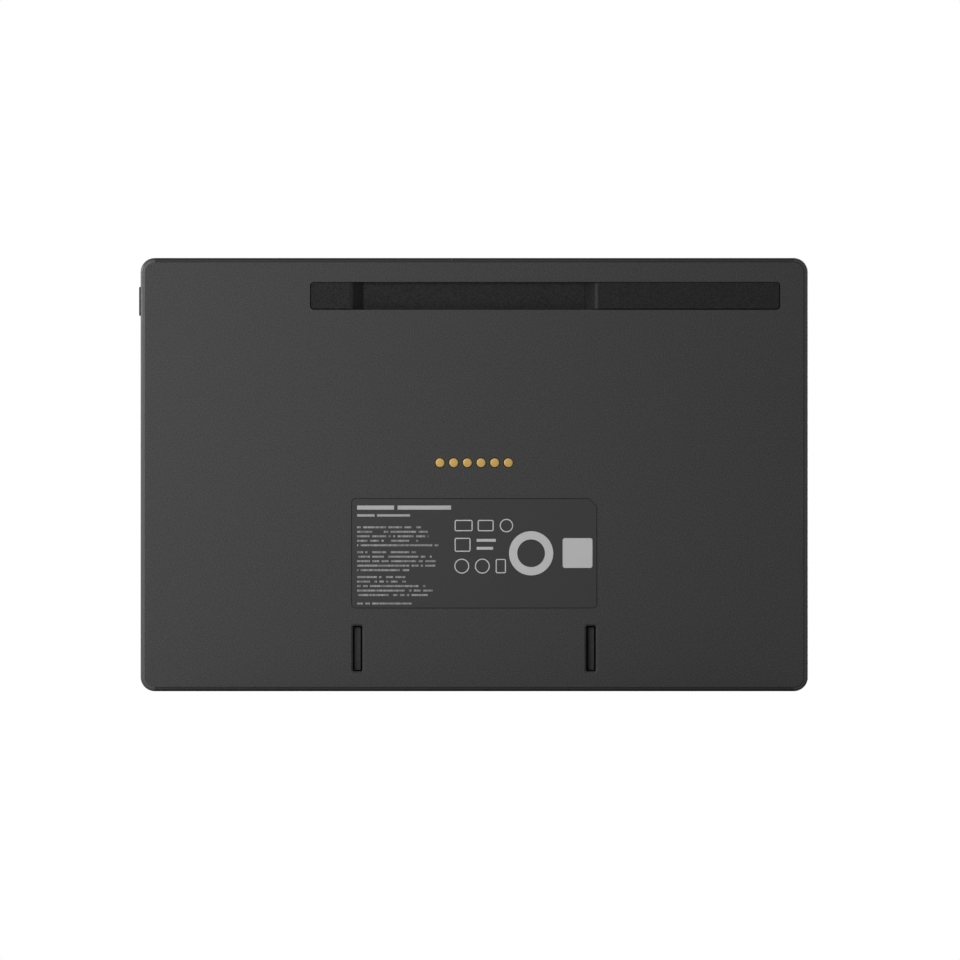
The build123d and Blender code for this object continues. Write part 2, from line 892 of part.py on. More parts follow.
def chassis_plate():
    """A stamped plate with countersunk screw holes, raised spacers and a window for the driver board."""
    inset = side_wall + tongue_gap + tongue_thickness + chassis_gap
    outline = rounded(body_width - 2 * inset, body_height - 2 * inset, chassis_corner)
    plate = slab(outline, chassis_back, chassis_front)
    plate += [stud(spacer_radius, board_front, chassis_back, x, z) for x, z in board_places()]
    plate -= box(
        driver_width + 2 * window_margin,
        driver_height + 2 * window_margin,
        chassis_back + overrun,
        chassis_front - overrun,
        0,
        driver_z,
    )
    plate -= [
        stud(main_screw_radius, board_front + overrun, chassis_front - overrun, x, z)
        for x, z in board_places()
    ]
    return plate - [main_screw_hole(x, z) for x, z in boss_places]


def board_screw(x, z):
    head = stud(board_screw_head_radius, board_back + board_screw_head_height, board_back, x, z)
    shank_end = board_back - board_screw_length
    return head + stud(main_screw_radius, board_back + board_screw_head_height / 2, shank_end, x, z)


def main_board():
    plate = box(board_width, board_height, board_back, board_front, board_x, board_z)
    return plate - [
        stud(main_screw_radius + main_screw_clearance, board_back + overrun, board_front - overrun, x, z)
        for x, z in board_places()
    ]


def can_places():
    """Centre and size of each shield can on the board's back."""
    left = board_left + board_screw_inset + can_spacing
    low = board_low + board_screw_inset + can_spacing
    right = left + processor_can[0] + can_spacing
    top = low + processor_can[1] + can_spacing
    return [
        (left + processor_can[0] / 2, low + processor_can[1] / 2, processor_can),
        (left + radio_can[0] / 2 + can_spacing, top + (radio_can[1] - can_spacing) / 2, radio_can),
        (right + power_can[0] / 2, low + power_can[1] / 2, power_can),
    ]


def shield_cans():
    """Pressed lids, open towards the board."""
    top = board_back + can_height
    cans = []
    for x, z, (width, height) in can_places():
        lid = box(width, height, top, board_back, x, z)
        inside = Rectangle(width - 2 * can_wall, height - 2 * can_wall)
        cans.append(lid - slab(inside, top - can_wall, board_back - overrun, x, z))
    return group(cans)


def heat_sheet():
    x, z, (width, height) = can_places()[0]
    front = board_back + can_height
    sheet = Rectangle(width - heat_sheet_margin, height - heat_sheet_margin)
    return slab(sheet, front + heat_sheet_thickness, front, x, z)


def plug_places():
    """Centre and size of each socket on the board's back: contacts, battery, display, antennas."""
    left, right = board_left + plug_inset, board_right - plug_inset
    low = board_low + plug_inset + plug_depth / 2
    high = board_top - plug_inset - antenna_plug_size / 2
    small = (antenna_plug_size, antenna_plug_size)
    contact_x = right - contact_plug_width
    return {
        "contacts": (contact_x, contact_socket_z, (contact_plug_width, plug_depth)),
        "battery": (right - plug_depth / 2, battery_plug_z, (plug_depth, battery_plug_width)),
        "display": (cable_x, low, (driver_plug_width, plug_depth)),
        "side antenna": (left + antenna_plug_size / 2, antenna_z, small),
        "top antenna": (top_antenna_x, high, small),
    }


def board_sockets():
    top = board_back + plug_thickness
    sockets = [
        box(width, height, top, board_back, x, z)
        for x, z, (width, height) in plug_places().values()
    ]
    return group(sockets)


# Flexes and leads

def strip(points, width, x):
    """A flat flex, creased along points given as Y and Z, and centred on one X."""
    path = Polyline(*[(x, y, z) for y, z in points])
    start = Plane(origin=path @ 0, z_dir=path % 0, x_dir=(1, 0, 0))
    return sweep(start * Rectangle(width, flex_thickness), path=path, transition=Transition.RIGHT)


def lead(points, radius):
    """A thin lead along points."""
    path = Polyline(*points)
    start = Plane(origin=path @ 0, z_dir=path % 0)
    return sweep(start * flats(radius), path=path, transition=Transition.RIGHT)


def driver_board():
    front = tray_back
    back = front + driver_thickness
    board = box(driver_width, driver_height, back, front, 0, driver_z)
    plug = Rectangle(driver_plug_width, driver_plug_height)
    return board + slab(plug, back + driver_plug_thickness, back, cable_x, driver_z)


def lcd_flex():
    """The flex from the panel's lower edge, round the tray and up to the driver board."""
    outside = -module_height / 2 - flex_clearance / 2
    level = tray_back + flex_thickness / 2
    inside = (glass_back + lcd_back) / 2
    points = [
        (inside, -module_height / 2),
        (inside, outside),
        (level, outside),
        (level, driver_z - driver_height / 2),
    ]
    return strip(points, lcd_flex_width, 0)


def display_cable():
    """The cable from the driver board's plug up to the main board."""
    x, z, (width, height) = plug_places()["display"]
    start_y = tray_back + driver_thickness + driver_plug_thickness / 2
    run_y = chassis_back + flex_clearance
    top_y = board_back + plug_thickness / 2
    low = z - height / 2
    rise = low - plug_inset - flex_clearance - flex_step
    edge = driver_z + driver_plug_height / 2
    points = [
        (start_y, edge),
        (start_y, edge + 2 * flex_step),
        (run_y, edge + 4 * flex_step),
        (run_y, rise),
        (top_y, rise),
        (top_y, low),
    ]
    return strip(points, driver_plug_width / 2, x)


def contact_flex():
    x, z, (width, height) = plug_places()["contacts"]
    start = contact_z + carrier_height / 2
    level = (carrier_front + contact_board_front) / 2
    top_y = board_back + plug_thickness / 2
    turn = (start + z - height / 2) / 2
    points = [(level, start), (level, turn), (top_y, turn), (top_y, z - height / 2)]
    return strip(points, contact_plug_width / 2, x)


def battery_pack():
    cell = box(battery_width, battery_height, battery_back, battery_front, battery_x, battery_z)
    return chamfer(cell.edges().group_by(Axis.Y)[-1], battery_bevel)


def battery_circuit():
    z = battery_z + battery_height / 2 + circuit_height / 2
    level = (battery_back + battery_front) / 2
    half = circuit_thickness / 2
    width = battery_width - 2 * circuit_inset
    return box(width, circuit_height, level + half, level - half, battery_x, z)


def battery_tape():
    x = battery_width / 2 - battery_tape_width
    height = battery_height - battery_tape_width
    strips = [
        box(battery_tape_width, height, battery_front, chassis_back, battery_x + side * x, battery_z)
        for side in (-1, 1)
    ]
    return group(strips)


def battery_lead():
    x, z, (width, height) = plug_places()["battery"]
    start_x = battery_x - battery_width / 2 + circuit_inset
    start_z = battery_z + battery_height / 2 + circuit_height / 2
    start_y = (battery_back + battery_front) / 2
    end_x = x + width / 2
    end_y = board_back + plug_thickness / 2
    first = start_x + (end_x - start_x) / 3
    last = start_x + (end_x - start_x) * 2 / 3
    points = [
        (start_x, start_y, start_z),
        (first, start_y, start_z),
        (last, end_y, z),
        (end_x, end_y, z),
    ]
    return lead(points, battery_lead_radius)


def antennas():
    """Foil strips stuck to the inside of the walls."""
    upright = Rectangle(antenna_width, antenna_length)
    side = across(upright, -inner_x, antenna_thickness - inner_x, antenna_y, antenna_z)
    level = Rectangle(antenna_length, antenna_width)
    top = upward(level, inner_z - antenna_thickness, inner_z, top_antenna_x, antenna_y)
    return group([side, top])


def antenna_leads():
    """Straight leads from each foil strip to its socket on the board."""
    level = board_back + plug_thickness / 2
    x, z, (width, height) = plug_places()["side antenna"]
    side = lead([(antenna_thickness - inner_x, level, z), (x - width / 2, level, z)], lead_radius)
    x, z, (width, height) = plug_places()["top antenna"]
    top = lead([(x, level, inner_z - antenna_thickness), (x, level, z + height / 2)], lead_radius)
    return group([side, top])


pieces = {
    "rear_cover": rear_cover,
    "hook_rail": hook_rail,
    "slot_liners": lambda: group(slot_liner(x) for x in slot_xs),
    "slot_pads": lambda: group(slot_pad(x) for x in slot_xs),
    "label_film": label_film,
    "contact_pads": lambda: group(contact_pad(x) for x in contact_xs),
    "contact_carrier": contact_carrier,
    "contact_board": contact_board,
    "contact_flex": contact_flex,
    "small_screws": small_screws,
    "threaded_inserts": lambda: group(threaded_insert(x, z) for x, z in boss_places),
    "chassis_screws": lambda: group(main_screw(x, z) for x, z in boss_places),
    "side_key": side_key,
    "switch_plunger": switch_plunger,
    "key_switch": key_switch,
    "key_board": key_board,
    "key_bracket": key_bracket,
    "mic_boots": mic_boots,
    "mic_board": mic_board,
    "microphones": microphones,
    "mic_meshes": mic_meshes,
    "speaker_box": speaker_box,
    "speaker_cone": speaker_cone,
    "speaker_gasket": speaker_gasket,
    "front_frame": front_frame,
    "front_glass": front_glass,
    "glass_tape": glass_tape,
    "lcd_panel": lcd_panel,
    "optical_films": lambda: tray_sheet(films_back, lcd_back),
    "light_guide": lambda: tray_sheet(guide_back, films_back, led_bar_depth + stack_gap),
    "reflector_sheet": lambda: tray_sheet(reflector_back, guide_back),
    "led_bar": led_bar,
    "backlight_tray": backlight_tray,
    "cushion_strips": cushion_strips,
    "chassis_plate": chassis_plate,
    "driver_board": driver_board,
    "lcd_flex": lcd_flex,
    "display_cable": display_cable,
    "main_board": main_board,
    "board_screws": lambda: group(board_screw(x, z) for x, z in board_places()),
    "shield_cans": shield_cans,
    "heat_sheet": heat_sheet,
    "board_sockets": board_sockets,
    "battery_pack": battery_pack,
    "battery_circuit": battery_circuit,
    "battery_tape": battery_tape,
    "battery_lead": battery_lead,
    "antennas": antennas,
    "antenna_leads": antenna_leads,
}

os.makedirs("parts", exist_ok=True)
for name, make in pieces.items():
    solid = make()
    export_step(solid, f"parts/{name}.step")
    print(name, len(solid.solids()), round(solid.volume, 1))
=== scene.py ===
# %% [markdown]
# # The back of a wall-hung energy display
# The object is a slim display for the home, seen from behind. Its back is a dark moulded cover
# with a long trough for the bracket's hooks, two slots, six gold contacts and a film panel. The
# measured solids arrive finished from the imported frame, in metres, with the back face at Y 0. This
# lesson gives each of them its finish, swaps a few for finer pieces and lights the result.

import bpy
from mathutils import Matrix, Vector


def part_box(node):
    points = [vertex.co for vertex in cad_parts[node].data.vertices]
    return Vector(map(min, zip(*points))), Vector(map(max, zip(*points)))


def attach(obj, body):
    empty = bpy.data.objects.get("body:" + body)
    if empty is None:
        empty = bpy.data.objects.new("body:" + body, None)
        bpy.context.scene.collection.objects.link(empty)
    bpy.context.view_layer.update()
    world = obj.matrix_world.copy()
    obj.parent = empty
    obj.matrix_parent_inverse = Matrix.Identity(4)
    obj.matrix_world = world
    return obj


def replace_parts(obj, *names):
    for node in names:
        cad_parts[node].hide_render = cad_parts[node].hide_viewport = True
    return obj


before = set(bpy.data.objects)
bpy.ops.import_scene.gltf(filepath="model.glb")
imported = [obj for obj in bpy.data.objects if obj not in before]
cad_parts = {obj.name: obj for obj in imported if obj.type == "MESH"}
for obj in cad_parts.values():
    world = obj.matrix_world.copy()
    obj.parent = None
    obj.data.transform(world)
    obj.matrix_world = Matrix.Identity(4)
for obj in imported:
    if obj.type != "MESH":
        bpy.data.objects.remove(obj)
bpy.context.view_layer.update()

# %% [markdown]
# The other modules come with Blender. `bmesh` shapes the finer pieces, and `mathutils` turns them.
# One unit in the scene is a metre, so a named millimetre keeps the small sizes readable. Most of
# the plastics are a plain grey, which `grey` writes from one number.

# %% Name the millimetre and the greys
from math import cos, pi, radians, sin

import bmesh
import bpy
from mathutils import Matrix, Vector

mm = 0.001


def grey(level):
    return (level, level, level)


housing_low, housing_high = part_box("rear_cover")
print("cover in mm:", [round(v / mm, 1) for v in housing_high - housing_low])

# %% [markdown]
# ## Arithmetic with shader sockets
# A finish is a small sum: so much grain here, a bit less gloss there. Nodes can do that sum, but a
# long chain of Math nodes is hard to read in code. The class below wraps one socket, so that
# `1 - mask * 0.2` adds the Math nodes by itself. The reflected forms, such as `__rsub__`, are there
# for sums that start with a plain number. Plain numbers on their own never become nodes.

# %% Wrap a socket


class Amount:
    """A number that changes over a surface."""

    def __init__(self, finish, socket):
        self.finish = finish
        self.socket = socket

    def math(self, operation, *values):
        return self.finish.node("Math", {"operation": operation}, *values)

    def __add__(self, other):
        return self.math("ADD", self, other)

    def __radd__(self, other):
        return self.math("ADD", other, self)

    def __sub__(self, other):
        return self.math("SUBTRACT", self, other)

    def __rsub__(self, other):
        return self.math("SUBTRACT", other, self)

    def __mul__(self, other):
        return self.math("MULTIPLY", self, other)

    def __rmul__(self, other):
        return self.math("MULTIPLY", other, self)

    def __truediv__(self, other):
        return self.math("DIVIDE", self, other)

    def __gt__(self, other):
        return self.math("GREATER_THAN", self, other)

    def __lt__(self, other):
        return self.math("LESS_THAN", self, other)

    def __abs__(self):
        return self.math("ABSOLUTE", self)

    def least(self, other):
        return self.math("MINIMUM", self, other)

    def most(self, other):
        return self.math("MAXIMUM", self, other)

    def clipped(self):
        """Kept between 0 and 1."""
        return self.most(0.0).least(1.0)

    def whole(self):
        return self.math("FLOOR", self)

    def fraction(self):
        """What the whole part leaves over."""
        return self.math("FRACT", self)


# %% [markdown]
# ## One method for every other node
# A `Finish` is one material. Its `node` method takes a node's type, then its settings, then what
# goes into its sockets, in order or by name. Settings come first, because a setting such as the
# data type decides which sockets are open. Colours mix through a Mix node, since a Math node would
# turn them grey. `inside_by` is for rims and lines that follow an outline: for a rectangle with
# round corners, only what reaches past its inner, sharp-cornered rectangle counts towards the
# distance.

# %% Build materials by name


class Finish:
    """A material whose nodes are added one call at a time."""

    def __init__(self, name, colour, roughness, metallic=0.0, specular=0.5):
        self.material = bpy.data.materials.new(name)
        self.material.use_nodes = True
        self.tree = self.material.node_tree
        self.shader = self.tree.nodes["Principled BSDF"]
        self.colour = colour
        self.set("Base Color", (*colour, 1.0))
        self.set("Roughness", roughness)
        self.set("Metallic", metallic)
        self.set("Specular IOR Level", specular)

    def node(self, kind, settings=None, *values, out=None, **named):
        made = self.tree.nodes.new("ShaderNode" + kind)
        for name, value in (settings or {}).items():
            if name == "stops":
                self.set_stops(made.color_ramp, value)
            else:
                setattr(made, name, value)
        open_inputs = [socket for socket in made.inputs if socket.enabled]
        for socket, value in zip(open_inputs, values):
            self.feed(socket, value)
        for name, value in named.items():
            title = name.replace("_", " ").title()
            self.feed(next(s for s in open_inputs if s.name == title), value)
        open_outputs = [socket for socket in made.outputs if socket.enabled]
        return Amount(self, next(s for s in open_outputs if out in (None, s.name)))

    def set_stops(self, ramp, stops):
        while len(ramp.elements) < len(stops):
            ramp.elements.new(1.0)
        for element, (place, level) in zip(ramp.elements, stops):
            element.position = place
            element.color = (*grey(level), 1.0)

    def feed(self, socket, value):
        if isinstance(value, Amount):
            self.tree.links.new(value.socket, socket)
        else:
            socket.default_value = value

    def set(self, name, value):
        """Feed one of the shader's sockets with a link or a constant."""
        self.feed(self.shader.inputs[name], value)

    def so_far(self, name):
        """What feeds one of the shader's sockets up to now."""
        return Amount(self, self.shader.inputs[name].links[0].from_socket)

    def place(self):
        """Where a point lies on the object, in millimetres."""
        point = self.node("TexCoord", out="Object")
        return self.node("VectorMath", {"operation": "SCALE"}, point, 1 / mm)

    def axes(self, place):
        return [self.node("SeparateXYZ", None, place, out=axis) for axis in "XYZ"]

    def noise(self, place, per_mm, detail=2.0, roughness=0.5):
        return self.node("TexNoise", None, place, scale=per_mm, detail=detail, roughness=roughness)

    def stretch(self, place, factors):
        return self.node("VectorMath", {"operation": "MULTIPLY"}, place, factors)

    def between(self, factor, first, second):
        """Mix two colours, each of them a socket or three numbers."""
        ends = [end if isinstance(end, Amount) else (*end, 1.0) for end in (first, second)]
        return self.node("Mix", {"data_type": "RGBA"}, factor, *ends)

    def shade(self, factor, dark, light):
        """The finish's colour, from dark times itself to light times itself."""
        ends = [[min(level * part, 1.0) for part in self.colour] for level in (dark, light)]
        return self.between(factor, *ends)

    def bump(self, height, depth):
        """Let the height, from 0 to 1, dent the surface by a depth in millimetres."""
        return self.node("Bump", None, distance=depth * mm, height=height)

    def ramp(self, value, stops):
        return self.node("ValToRGB", {"stops": stops}, value)

    def length(self, first, second):
        joined = self.node("CombineXYZ", None, first, second, 0.0)
        return self.node("VectorMath", {"operation": "LENGTH"}, joined, out="Value")

    def inside_by(self, off_side, off_end, half_width, half_height, corner):
        """How far a point, given from the middle, lies inside a round-cornered rectangle."""
        past_side = abs(off_side) - (half_width - corner)
        past_end = abs(off_end) - (half_height - corner)
        reach = self.length(past_side.most(0.0), past_end.most(0.0))
        return corner - reach - past_side.most(past_end).least(0.0)


# %% [markdown]
# Most finishes are needed on several nodes, so one helper puts a material on a list of them. It
# fills the slots of each mesh and leaves the mesh itself alone, because the solids are fixed.

# %% Dress the nodes


def dress(finish, *names):
    for name in names:
        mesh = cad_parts[name].data
        mesh.materials.clear()
        mesh.materials.append(finish.material)
    print(finish.material.name, "on", ", ".join(names))


# %% [markdown]
# ## The moulded cover
# The cover is spark-eroded plastic: the mould's steel was etched, so the surface is covered in a
# fine grain, about a third of a millimetre from bump to bump. Two layers of noise make it, a coarse
# one that the eye reads as a faint speckle and a fine one that takes the shine away. A real grain
# catches the light on its tops and stays darker in its pits, so the same noise also moves the
# colour a little.

# %% Grain for moulded plastic


def moulded(name, colour, roughness, speckle=0.5, depth=0.05, specular=0.1):
    finish = Finish(name, colour, roughness, specular=specular)
    place = finish.place()
    coarse = finish.noise(place, 2.0, 2.0, 0.6)
    fine = finish.noise(place, 6.0, 2.0, 0.5)
    grain = coarse * 0.55 + fine * 0.45
    tops = finish.ramp(grain, [(0.3, 0.0), (0.7, 1.0)])
    finish.set("Base Color", finish.shade(tops, 1 - speckle, 1 + speckle))
    finish.set("Roughness", roughness + 0.08 * (0.5 - grain))
    finish.set("Normal", finish.bump(grain, depth))
    return finish


# %% [markdown]
# The rim is different: its colour has no grain and is painted light and shade that follow the
# distance from the outline, painted dark at the edge and at the crease where the face begins, and
# lighter between. It fades out where the rounding meets the side wall, which is grained again. On
# the short sides and the corners the painted tone is paler, a painted highlight, most of all on the
# side with the key light and the side key; the far side keeps a darker painted crease. These sides
# also have a thin coat and less roughness. Deep in the openings the colour is painted darker below
# the back face, as painted shade: over a millimetre in the slots, whose mouths are bevelled, and
# much faster in the upper half, where the trough's window is cut square.

# %% Finish the cover

shell = moulded("rear shell", grey(0.04), 0.5)
across, depth, up = shell.axes(shell.place())
half_x, half_z = housing_high.x / mm, housing_high.z / mm
corner_radius, rim_width, rim_depth, ramp_length = 5.5, 1.7, 2.2, 2
inside = shell.inside_by(across, up, half_x, half_z, corner_radius)
edge = inside < rim_width
rim = edge * (depth + rim_depth).clipped()
side_rim = rim * (abs(across) > half_x - corner_radius)
high_up = up > half_z / 2
# Painted shade: below the back face, inside the openings, the colour falls to near black.
mouth_level = -0.35 + 0.1 * high_up
fall_off = 1 + 5 * high_up
recess_painted_shade = ((mouth_level - depth) * fall_off).clipped() * (1 - edge)
inwards = inside / ramp_length
# Painted light and shade on the rim: dark edge and crease, lighter between, palest at +X.
long_rim_painted_shade = shell.ramp(inwards, [(0.25, 0.012), (0.45, 0.034), (0.6, 0.028), (0.7, 0.017)])
near_rim_painted_highlight = shell.ramp(inwards, [(0.25, 0.032), (0.4, 0.05), (0.72, 0.062), (0.85, 0.028)])
far_rim_painted_light_and_shade = shell.ramp(inwards, [(0.2, 0.012), (0.4, 0.052), (0.6, 0.052), (0.75, 0.01)])
side_rim_painted_light_and_shade = shell.between(across < 0.0, near_rim_painted_highlight, far_rim_painted_light_and_shade)
long_rims_painted_shade = shell.between(rim, shell.so_far("Base Color"), long_rim_painted_shade)
rims_painted_light_and_shade = shell.between(side_rim, long_rims_painted_shade, side_rim_painted_light_and_shade)
shell.set("Base Color", shell.between(recess_painted_shade, rims_painted_light_and_shade, grey(0.004)))
shell.set("Roughness", shell.so_far("Roughness") - 0.15 * side_rim)
shell.set("Coat Weight", 0.1 * side_rim)
shell.set("Coat Roughness", 0.3)
dress(shell, "rear_cover")

# %% [markdown]
# ## The hook rail
# The rail is a separate, blacker moulding that slips in from inside the cover. Its long shelves lie
# just under the back face, and the pocket between them ramps down at both ends. Hooks slide in it,
# so makers leave it with the same grain but a denser black. The pocket's floor is painted a touch
# paler, as painted light against the shade that falls in it. The ramps are painted darker, as
# painted shade, and the two rounded crests above them have a thin polish that shows as a narrow
# bright strip. The outline of the shelves is rounded over below the window's edge. Its lower side
# and its ends turn away from the light, which a fine painted dark line stands for.

# %% Finish the hook rail

trough = moulded("hook rail", grey(0.0172), 0.6, speckle=0.7, specular=0.05)
across, depth, up = trough.axes(trough.place())
off_middle = abs(across)
pocket_end, ramp_end = 42.8, 47.2
crest_start, crest_end = 47.15, 48.05
pocket = off_middle < pocket_end
ramps = (off_middle > pocket_end) * (off_middle < ramp_end)
crests = (off_middle > crest_start) * (off_middle < crest_end)
shelf_x, shelf_z = -27.6, 69.75
shelf_outline = (91.3, 5.15, 1.2)
shelf_inside = trough.inside_by(across - shelf_x, up - shelf_z, *shelf_outline)
line_width, line_depth, line_top = 0.08, 0.4, 4.9
outline = (shelf_inside < line_width) * (up < shelf_z + line_top) * (depth > -line_depth)
# Painted light: the pocket's floor is lifted a touch towards white.
pocket_painted_light = trough.between(0.0023 * pocket, trough.so_far("Base Color"), grey(1.0))
# Painted shade: the ramps and the fine line round the shelves are darkened.
painted_ramp_and_line_shade = (0.22 * ramps).most(0.9 * outline)
trough.set("Base Color", trough.between(painted_ramp_and_line_shade, pocket_painted_light, grey(0.0)))
trough.set("Coat Weight", 0.13 * crests)
trough.set("Coat Roughness", 0.35)
dress(trough, "hook_rail")

# %% [markdown]
# ## The slot liners and other plain mouldings
# Behind the slots sit black cups. Parts inside a product are moulded from plain nylon, which is
# smoother than the cover and slightly cloudy. A slow noise clouds the gloss.

# %% Finish the plain mouldings


def plain_moulding(name, colour, roughness, specular=0.4):
    finish = Finish(name, colour, roughness, specular=specular)
    place = finish.place()
    cloud = finish.noise(place, 0.25, 3.0)
    pits = finish.noise(place, 6.0, 1.0)
    finish.set("Base Color", finish.shade(cloud, 0.8, 1.2))
    finish.set("Roughness", roughness - 0.08 + 0.16 * cloud)
    finish.set("Normal", finish.bump(pits, 0.008))
    return finish


dress(plain_moulding("slot cup", grey(0.006), 0.5, 0.05), "slot_liners")
inner_black = plain_moulding("inner black plastic", (0.015, 0.015, 0.017), 0.5)
dress(inner_black, "contact_carrier", "switch_plunger", "key_switch", "speaker_box")
dress(plain_moulding("socket plastic", (0.8, 0.78, 0.7), 0.45), "board_sockets")
dress(plain_moulding("front frame", (0.033, 0.033, 0.034), 0.45, 0.12), "front_frame")

# %% [markdown]
# ## Rubber and foam
# The pads in the slots are soft rubber, which has a dusty bloom instead of a shine. A fine noise
# breaks up what little gloss is left. Foam is a mass of burst bubbles: Voronoi cells make the pits,
# and they go deep enough to swallow light.

# %% Finish rubber and foam


def rubber(name, colour, roughness=0.75):
    finish = Finish(name, colour, roughness, specular=0.1)
    place = finish.place()
    bloom = finish.noise(place, 0.8, 4.0)
    fine = finish.noise(place, 5.0, 2.0)
    finish.set("Base Color", finish.shade(bloom, 0.8, 1.25))
    finish.set("Roughness", roughness - 0.1 + 0.2 * fine)
    finish.set("Normal", finish.bump(fine, 0.015))
    return finish


def foam(name, colour):
    finish = Finish(name, colour, 0.95, specular=0.1)
    bubbles = finish.node("TexVoronoi", None, finish.place(), scale=2.2, out="Distance")
    finish.set("Base Color", finish.shade(bubbles, 0.5, 1.5))
    finish.set("Normal", finish.bump(bubbles, 0.12))
    return finish


pad_rubber = rubber("pad rubber", grey(0.036))
dress(pad_rubber, "slot_pads", "mic_boots")
dress(rubber("speaker cone", grey(0.02), 0.6), "speaker_cone")
dress(rubber("black lead", grey(0.015), 0.5), "battery_lead", "antenna_leads")
dress(foam("black foam", grey(0.06)), "speaker_gasket", "cushion_strips")

# %% [markdown]
# ## The heat sheet
# A grey silicone sheet carries heat off the processor. It is cast on a glass cloth, and the cloth's
# weave still shows. Two waves at right angles, the larger of the two at each point, read as
# threads. The microphones' mesh is a metal cloth, so it is made the same way.

# %% Weave for the heat sheet and the microphone mesh


def woven(name, colour, roughness, per_mm, metallic=0.0):
    finish = Finish(name, colour, roughness, metallic)
    place = finish.place()
    warp = finish.node("TexWave", {"bands_direction": "X"}, place, scale=per_mm, out="Fac")
    weft = finish.node("TexWave", {"bands_direction": "Z"}, place, scale=per_mm, out="Fac")
    threads = warp.most(weft)
    finish.set("Base Color", finish.shade(threads, 0.55, 1.3))
    finish.set("Roughness", roughness + 0.15 * (1 - threads))
    finish.set("Normal", finish.bump(threads, 0.05))
    return finish


dress(woven("heat sheet", (0.25, 0.25, 0.27), 0.7, 0.6), "heat_sheet")
dress(woven("microphone mesh", (0.5, 0.5, 0.52), 0.4, 2.5, 0.6), "mic_meshes")

# %% [markdown]
# ## The film panel
# Under the contacts lies a thin printed film in its own shallow recess. It is smoother than the
# moulded cover, so it shows as a slightly lighter, quieter rectangle. Its print here is plain and
# says nothing: two heading bars, rows of dashes and a few empty outlines. All of it is worked out
# from where a point lies on the panel, with no picture. `sideways` runs to the reader's right as
# the panel is read from behind, and `down` runs from its upper edge.

# %% Measure the panel

panel = Finish("film panel", grey(0.037), 0.42, specular=0.1)
place = panel.place()
across, _, up = panel.axes(place)
film_low, film_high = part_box("label_film")
width, height = (film_high.x - film_low.x) / mm, (film_high.z - film_low.z) / mm
sideways = film_high.x / mm - across
down = film_high.z / mm - up
print("film in mm:", round(width, 2), "by", round(height, 2))

# %% [markdown]
# A bar is where both measures lie between two limits. A comparison gives 1 or 0, and a product of
# comparisons is 1 only where all of them hold. Plates and frames have round corners, so they ask
# how far inside their outline a point lies, and a frame keeps only a narrow band of that.

# %% Draw bars, plates, frames and rings

plate_corner, frame_corner, thin_line = 0.9, 0.7, 0.4


def bar(left, right, top, bottom):
    return (sideways > left) * (sideways < right) * (down > top) * (down < bottom)


def inside_box(left, right, top, bottom, corner):
    off_side, off_end = sideways - (left + right) / 2, down - (top + bottom) / 2
    return panel.inside_by(off_side, off_end, (right - left) / 2, (bottom - top) / 2, corner)


def plate(left, right, top, bottom):
    return inside_box(left, right, top, bottom, plate_corner) > 0.0


def frame_line(left, right, top, bottom):
    inside = inside_box(left, right, top, bottom, frame_corner)
    return (inside > 0.0) * (inside < thin_line)


def ring_line(centre, level, radius, line=thin_line):
    far = panel.length(sideways - centre, down - level)
    return (far < radius) * (far > radius - line)


# %% [markdown]
# Small print is a block of rows. The remainder of a division tells where a point lies within its
# row, and the whole part tells which row it is. White noise on those numbers then gives each row
# its own length and leaves gaps between dashes, the same ones on every run. A second noise, in much
# smaller cells, thins the ink here and there, as print this small never comes out even.

# %% Draw blocks of small print

margin = 2.2
dash_height, dash_cell, gap_share = 0.75, 0.9, 0.17
grit_cell, least_ink = 0.4, 0.4
ragged_share = 0.45


def chance(dimensions, place):
    settings = {"noise_dimensions": dimensions}
    return panel.node("TexWhiteNoise", settings, place, out="Value")


def chance_in_row(cell_width, row, top):
    cell = (sideways / cell_width).whole()
    return chance("3D", panel.node("CombineXYZ", None, cell, row, top))


def small_print(right, top, rows, pitch):
    steps = (down - top) / pitch
    row = steps.whole()
    on_row = steps.fraction() < dash_height / pitch
    cut = (right - margin) * ragged_share * chance("1D", row + margin + top)
    dashes = chance_in_row(dash_cell, row, top) > gap_share
    thin = chance_in_row(grit_cell, row, top) * (1 - least_ink) + least_ink
    block = bar(margin, right, top, top + rows * pitch)
    return block * on_row * (sideways < right - cut) * dashes * thin


# %% [markdown]
# The layout is a list of places in millimetres from the panel's upper left corner, as it is read.
# `join` keeps the largest of several masks, so there is ink wherever one of them has some. Each
# kind of print is then thinned by a share of its own.

# %% Lay out the print


def join(*masks):
    joined = masks[0]
    for mask in masks[1:]:
        joined = joined.most(mask)
    return joined


heading = join(bar(margin, 16.6, 2.8, 4.4), bar(18.0, 38.8, 2.8, 4.4))
second_heading = join(bar(margin, 9.0, 6.2, 7.1), bar(10.0, 22.8, 6.2, 7.1))
paragraphs = [small_print(34.5, top, rows=5, pitch=1.75) for top in (10.9, 20.6, 30.3)]
paragraphs.append(small_print(38.0, 40.6, rows=1, pitch=1.2))
outlines = [
    plate(82.3, 93.9, 15.5, 27.1),
    ring_line(70.0, 21.4, 8.6, line=3.2),
    frame_line(40.2, 47.2, 8.4, 12.8),
    frame_line(49.2, 55.4, 8.4, 12.8),
    ring_line(60.4, 10.6, 2.6),
    frame_line(40.2, 46.4, 15.4, 20.8),
    bar(48.8, 56.2, 15.8, 16.9) * 0.9,
    bar(48.8, 55.2, 18.9, 20.0) * 0.9,
    ring_line(43.0, 26.4, 2.9),
    ring_line(51.0, 26.4, 2.9),
    frame_line(56.2, 60.2, 23.6, 29.2),
]
ink = join(heading * 0.55, second_heading * 0.45, join(*paragraphs) * 0.4, join(*outlines) * 0.7)
print("print:", len(paragraphs), "blocks and", len(outlines), "outlines")

